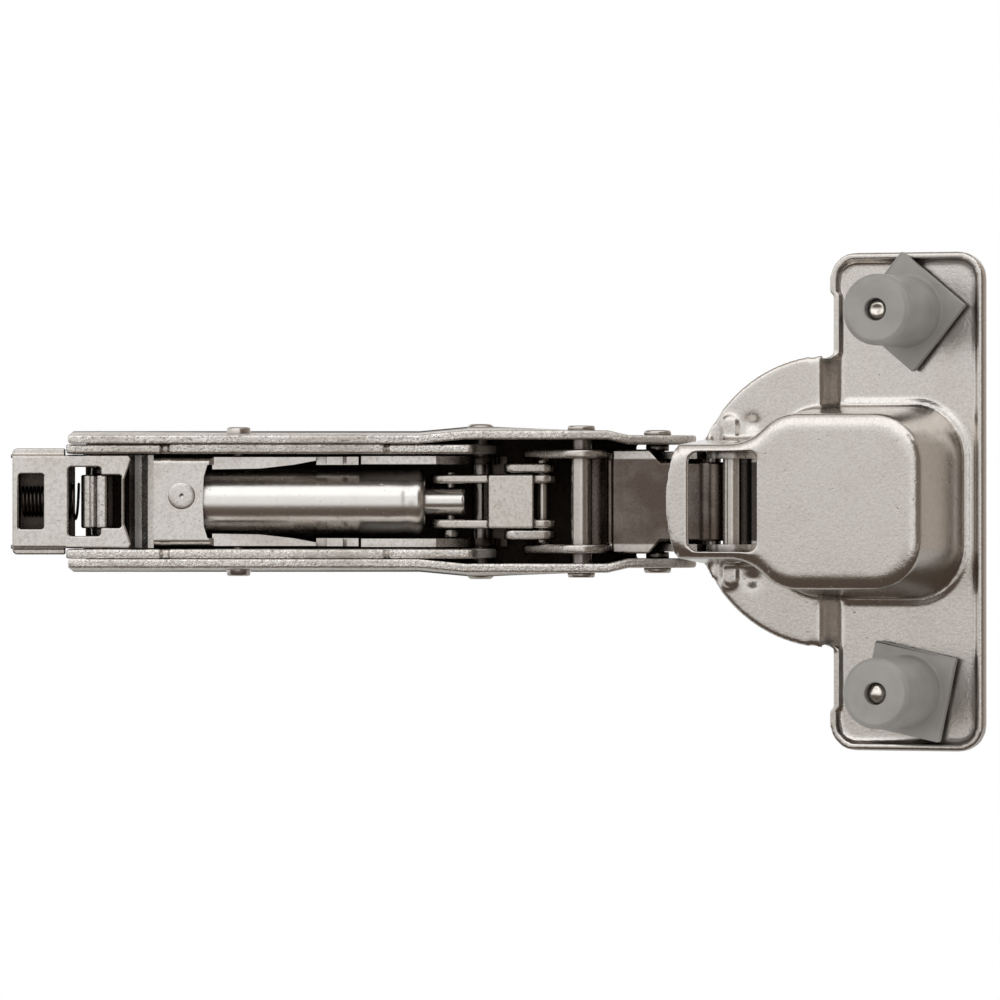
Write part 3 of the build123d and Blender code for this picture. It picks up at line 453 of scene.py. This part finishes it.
# the dowels' screws: their blunt, torn points stand just inside the bores
screw = {"u": 9.5, "pitch": 45.0, "top": 12.15, "shank": 1.27, "blunt": 0.55, "headR": 3.02, "headFar": -1.6,
         "torn": 0.16, "seat": -0.72, "neckR": 1.85, "headEdge": 0.6, "point": 0.9, "tipR": 0.55}
openAngle = math.radians(112)
toU = np.array([math.sin(openAngle), math.cos(openAngle), 0])
toN = np.array([math.cos(openAngle), -math.sin(openAngle), 0])
screwProfile = np.vstack([
    [[screw["headFar"], 0.0], [screw["headFar"], screw["headR"]],
     [screw["headFar"] + screw["headEdge"], screw["neckR"]], [screw["seat"], screw["neckR"]],
     [screw["seat"], screw["shank"]], [screw["top"] - screw["point"], screw["shank"]]],
    arc((screw["top"] - screw["blunt"], screw["shank"] - 0.15 - screw["blunt"]), screw["blunt"], 80, 5, 8),
    np.column_stack([np.full(6, screw["top"]), np.linspace(screw["tipR"], 0, 6)])])
for name, sign in (("upper", 1), ("lower", -1)):
    place = toU * screw["u"] + np.array([0, 0, sign * screw["pitch"] / 2])
    point = turned("screw_" + name, "dowel_screw_" + name, screwProfile, place, toN, 48)
    co = pointsOf(point.data)
    n = co @ toN
    # torn (sin(2.3 x + 1.9 sign) + sin(4.1 z) / 2)
    ragged = screw["torn"] * np.sin(co[:, 0] * 2.3 + 1.9 * sign)
    ragged = ragged + 0.5 * screw["torn"] * np.sin(co[:, 2] * 4.1)
    co += np.outer(np.where(n > screw["top"] - 0.7, ragged - screw["torn"], 0), toN)
    point.data.vertices.foreach_set("co", (co * mm).ravel())
print("tube, rivet, coil and screws made")

# the pressed cup in its own directions: u in the door face, v along z, n into the cup
cupAxes = np.array([toU, [0, 0, 1], toN])
pressing = {"voxel": 0.26, "soften": 5, "boxHalf": 11.35, "boxEnd": 16.05, "corner": 6.2,
            "ridgeOut": 0.45, "ridgeWide": 0.30, "ridgeHigh": 0.22, "faceRound": 2.1, "faceDrop": 1.05,
            "dimple": (-9.7, 9.3), "dimpleDeep": 0.35, "dimpleWide": 0.9, "stepFrom": 17.6,
            "stepTo": 24.4, "stepIn": 0.45, "bendU": (-2.6, 1.4), "bendV": (11.9, 17.3),
            "bendSoften": 24, "edgeSoften": 4, "softenBy": 0.5, "wallBand": 0.35, "faceU": (-19, 10),
            "plateU": (0.6, 1.6), "plateN": (0.2, 1.0), "stepU": (0.0, 1.4), "stepFade": (0.5, 0.7)}


def evaluated(name, mesh, settings):
    # the mesh after a run of modifiers, each given as its type and its values
    holder = bpy.data.objects.new(name, mesh)
    bpy.context.scene.collection.objects.link(holder)
    for kind, values, group in settings:
        modifier = holder.modifiers.new(kind.lower(), kind)
        for key, value in values.items():
            setattr(modifier, key, value)
        if group is not None:
            holder.vertex_groups.new(name="part").add(group.tolist(), 1.0, "REPLACE")
            modifier.vertex_group = "part"
    done = bpy.data.meshes.new_from_object(holder.evaluated_get(bpy.context.evaluated_depsgraph_get()))
    bpy.data.objects.remove(holder)
    return done


def smoothing(iterations, group=None):
    return ("SMOOTH", {"factor": pressing["softenBy"], "iterations": iterations}, group)


def nearest(points, outline):
    # the distance from each point to the nearest point of the outline, in blocks of 2000
    blocks = [np.hypot(*(points[i:i + 2000, None] - outline).transpose(2, 0, 1)).min(axis=1)
              for i in range(0, len(points), 2000)]
    return np.concatenate(blocks)


def pressedCup():
    mesh = mergedMesh("cup_body")
    mesh.vertices.foreach_set("co", (pointsOf(mesh) @ cupAxes.T * mm).ravel())
    even = ("REMESH", {"mode": "VOXEL", "voxel_size": pressing["voxel"] * mm}, None)
    mesh = evaluated("cupBlank", mesh, [even, smoothing(pressing["soften"])])
    u, v = pointsOf(mesh).T[:2]
    bend = np.flatnonzero((u > pressing["bendU"][0]) & (u < pressing["bendU"][1]) & (
        np.abs(v) > pressing["bendV"][0]) & (np.abs(v) < pressing["bendV"][1]))
    mesh = evaluated("cupBent", mesh, [smoothing(pressing["bendSoften"], bend)])

    co = pointsOf(mesh)
    normal = np.empty(len(co) * 3)
    mesh.vertices.foreach_get("normal", normal)
    facing = np.clip(normal.reshape(-1, 3)[:, 2], 0, 1)
    u, v, n = co.T
    # the face's edge: n is held under a quarter ellipse, faceRound wide and faceDrop deep, at d from the wall
    top = np.median(n[(n > n.max() - 1.0) & (facing > 0.99)])
    toRight, toSide = normal.reshape(-1, 3)[:, 0], normal.reshape(-1, 3)[:, 1] * np.sign(v)
    outer = (toSide > 0.15) | ((toRight > 0.3) & (u > pressing["faceU"][1])) | (
        (toRight < -0.3) & (u < pressing["faceU"][0]))
    wall = (n > top - pressing["faceDrop"] - pressing["wallBand"]) & (n < top - pressing["faceDrop"])
    wall = wall & (facing < 0.75) & outer
    near = np.flatnonzero(n > top - pressing["faceDrop"] - 0.1)
    d = np.clip(nearest(co[near, :2], co[wall, :2]) + 0.05, 0, pressing["faceRound"])
    held = top - pressing["faceDrop"] * (1 - np.sqrt(1 - (1 - d / pressing["faceRound"]) ** 2))
    n[near] = np.minimum(n[near], np.where(facing[near] > 0.05, held, top))
    mesh.vertices.foreach_set("co", (co * mm).ravel())
    edge = near[d < pressing["faceRound"] * 0.98]
    mesh = evaluated("cupRounded", mesh, [smoothing(pressing["edgeSoften"], edge)])
    co = pointsOf(mesh)
    u, v, n = co.T
    # distance outside the box's rounded outline: |max(p, 0), max(q, 0)| + min(max(p, q), 0) - corner
    p = u - (pressing["boxEnd"] - pressing["corner"])
    q = np.abs(v) - (pressing["boxHalf"] - pressing["corner"])
    out = np.hypot(np.maximum(p, 0), np.maximum(q, 0)) + np.minimum(np.maximum(p, q), 0) - pressing["corner"]
    onPlate = facing * smoothStep(u, *pressing["plateU"]) * (1 - smoothStep(n, *pressing["plateN"]))
    fromRidge = (out - pressing["ridgeOut"]) / pressing["ridgeWide"]
    ridge = pressing["ridgeHigh"] * np.exp(-fromRidge ** 2) * onPlate
    # round dimples in the half disc beside the neck: depth * exp(-(distance / width)^2)
    away = np.hypot(u - pressing["dimple"][0], np.abs(v) - pressing["dimple"][1])
    dimple = pressing["dimpleDeep"] * np.exp(-(away / pressing["dimpleWide"]) ** 2) * facing * (n < 3)
    # the plate's edge beside the disc stands a little back
    fadeIn, fadeOut = pressing["stepFade"]
    stepOff = 1 - smoothStep(np.abs(v), pressing["stepTo"], pressing["stepTo"] + fadeOut)
    step = pressing["stepIn"] * smoothStep(np.abs(v), pressing["stepFrom"] - fadeIn, pressing["stepFrom"])
    step = step * stepOff * (1 - smoothStep(u, *pressing["stepU"]))
    co = np.column_stack([u + step, v, n + ridge - dimple])
    mesh.vertices.foreach_set("co", (co @ cupAxes * mm).ravel())
    return newPiece("cup_pressed", mesh, "cup_body")


cup = pressedCup()
print("cup pressed:", len(cup.data.vertices), "vertices")

camera = {"x": -39.76 * mm, "z": 0.18 * mm, "distance": 900 * mm, "sensor": 36.0, "frameWidth": 119.05 * mm}
camData = bpy.data.cameras.new("camera")
camData.sensor_width = camera["sensor"]
camData.lens = camera["sensor"] * camera["distance"] / camera["frameWidth"]
camData.clip_start = 0.05
camData.clip_end = 50
cam = bpy.data.objects.new("camera", camData)
cam.location = (camera["x"], -camera["distance"], camera["z"])
cam.rotation_euler = (math.pi / 2, 0, 0)
bpy.context.scene.collection.objects.link(cam)
bpy.context.scene.camera = cam


def flatCard(name, centre, right, up, finish):
    # a flat four-cornered card: centre plus and minus its two half sides
    c, r, u = Vector(centre), Vector(right), Vector(up)
    mesh = bpy.data.meshes.new(name)
    mesh.from_pydata([c - r - u, c + r - u, c + r + u, c - r + u], [], [(0, 1, 2, 3)])
    mesh.materials.append(finish)
    card = bpy.data.objects.new(name, mesh)
    bpy.context.scene.collection.objects.link(card)
    return card


def floorFinish(colour):
    material = bpy.data.materials.new("paleFloor")
    t = Tree(material)
    surface = t.add("ShaderNodeBsdfDiffuse", None, {"Color": colour})[0]
    t.add("ShaderNodeOutputMaterial", None, {"Surface": surface})
    return material


def flagFinish(name, flag):
    # a card of a set brightness, which no lamp changes, fading from one colour to another along an axis
    material = bpy.data.materials.new(name)
    t = Tree(material)
    place = t.add("ShaderNodeSeparateXYZ", None, [t.add("ShaderNodeTexCoord")[3]])[flag["axis"]]
    colour = t.mixColour(place.above(*flag["fade"]), *flag["colours"])
    surface = t.add("ShaderNodeEmission", None, {"Color": colour, "Strength": 1.0})[0]
    t.add("ShaderNodeOutputMaterial", None, {"Surface": surface})
    return material


floorZ = -120 * mm
flatCard("floor", (0, 0, floorZ), (0.6, 0, 0), (0, 0.6, 0), floorFinish((0.84, 0.84, 0.83)))

middle = Vector((-0.03, 0, 0))


def wayTo(azimuth, elevation):
    # from the middle, with azimuth 0 towards the camera and positive to the right
    a, e = math.radians(azimuth), math.radians(elevation)
    return Vector((math.sin(a) * math.cos(e), -math.cos(a) * math.cos(e), math.sin(e)))


# studio flags that only reflections see; each is a way and two spans in degrees, with its fade in metres
flags = {
    "leftFlag": {"azimuth": -46, "elevation": 1, "wide": 62, "high": 33, "reach": 0.80, "axis": 2,
                 "fade": (-0.09, 0.09), "colours": ((0.65, 0.63, 0.61), (0.98, 0.98, 0.975))},
    "rightFlag": {"azimuth": 37, "elevation": 6, "wide": 54, "high": 62, "reach": 0.75, "axis": 0,
                  "fade": (0.02, 0.22), "colours": ((0.62, 0.59, 0.56), (0.20, 0.165, 0.14))},
    "rightBackFlag": {"azimuth": 106, "elevation": 4, "wide": 84, "high": 80, "reach": 0.70, "axis": 1,
                      "fade": (-0.2, 0.5), "colours": ((0.30, 0.25, 0.21), (0.50, 0.45, 0.40))},
}
for name, flag in flags.items():
    way = wayTo(flag["azimuth"], flag["elevation"])
    turn = (-way).to_track_quat("-Z", "Y")
    half = [flag["reach"] * math.tan(math.radians(flag[span] / 2)) for span in ("wide", "high")]
    flag["card"] = (middle + way * flag["reach"],
                    turn @ Vector((half[0], 0, 0)), turn @ Vector((0, half[1], 0)))
flags["lowFlag"] = {"card": ((0, -0.24, -0.10), (0.9, 0, 0), (0, 0.24, 0)), "axis": 1, "fade": (-0.48, -0.24),
                    "colours": ((0.72, 0.68, 0.64), (0.11, 0.085, 0.068))}
flags["highFlag"] = {"card": ((0, 0.13, 0.50), (1.1, 0, 0), (0, 0.37, 0)), "axis": 1, "fade": (-0.24, 0.34),
                     "colours": ((1.0, 0.97, 0.94), (0.14, 0.11, 0.09))}
for name, flag in flags.items():
    card = flatCard(name, *flag["card"], flagFinish(name, flag))
    card.visible_camera = False
    card.visible_diffuse = False
    card.visible_shadow = False

world = bpy.data.worlds.new("studio")
bpy.context.scene.world = world
t = Tree(world)
path = t.add("ShaderNodeLightPath")
seen = path[0].node("MAXIMUM", path[0].node("MAXIMUM", path[0], path[3]), path[6])
back = t.add("ShaderNodeBackground", None, {"Color": (1, 1, 1), "Strength": 1.0})[0]
fill = t.add("ShaderNodeBackground", None, {"Color": (0.30, 0.285, 0.27), "Strength": 1.0})[0]
both = t.add("ShaderNodeMixShader", None, [seen, fill, back])[0]
t.add("ShaderNodeOutputWorld", None, {"Surface": both})

# each softbox: the way to its middle and its spans in degrees, its brightness, and if reflections see it
softboxes = {
    "upperSoftbox": {"azimuth": -12, "elevation": 41, "wide": 112, "high": 42, "glow": 0.45,
                     "mirrored": True},
    "leftSoftbox": {"azimuth": -34, "elevation": 10, "wide": 66, "high": 40, "glow": 1.1, "mirrored": False},
    "topSoftbox": {"azimuth": 0, "elevation": 88, "wide": 60, "high": 44, "glow": 0.8, "mirrored": False},
    "rightSoftbox": {"azimuth": 80, "elevation": 6, "wide": 40, "high": 40, "glow": 0.5, "mirrored": False},
}
lampReach = 1.25
for name, box in softboxes.items():
    way = wayTo(box["azimuth"], box["elevation"])
    data = bpy.data.lights.new(name, "AREA")
    data.shape = "RECTANGLE"
    data.size = 2 * lampReach * math.tan(math.radians(box["wide"] / 2))
    data.size_y = 2 * lampReach * math.tan(math.radians(box["high"] / 2))
    data.energy = box["glow"] * math.pi * data.size * data.size_y
    light = bpy.data.objects.new(name, data)
    light.location = middle + way * lampReach
    light.rotation_mode = "QUATERNION"
    light.rotation_quaternion = (-way).to_track_quat("-Z", "Y")
    light.visible_camera = False
    light.visible_glossy = box["mirrored"]
    bpy.context.scene.collection.objects.link(light)
bpy.context.scene.view_settings.view_transform = "Standard"
print("camera and light set")
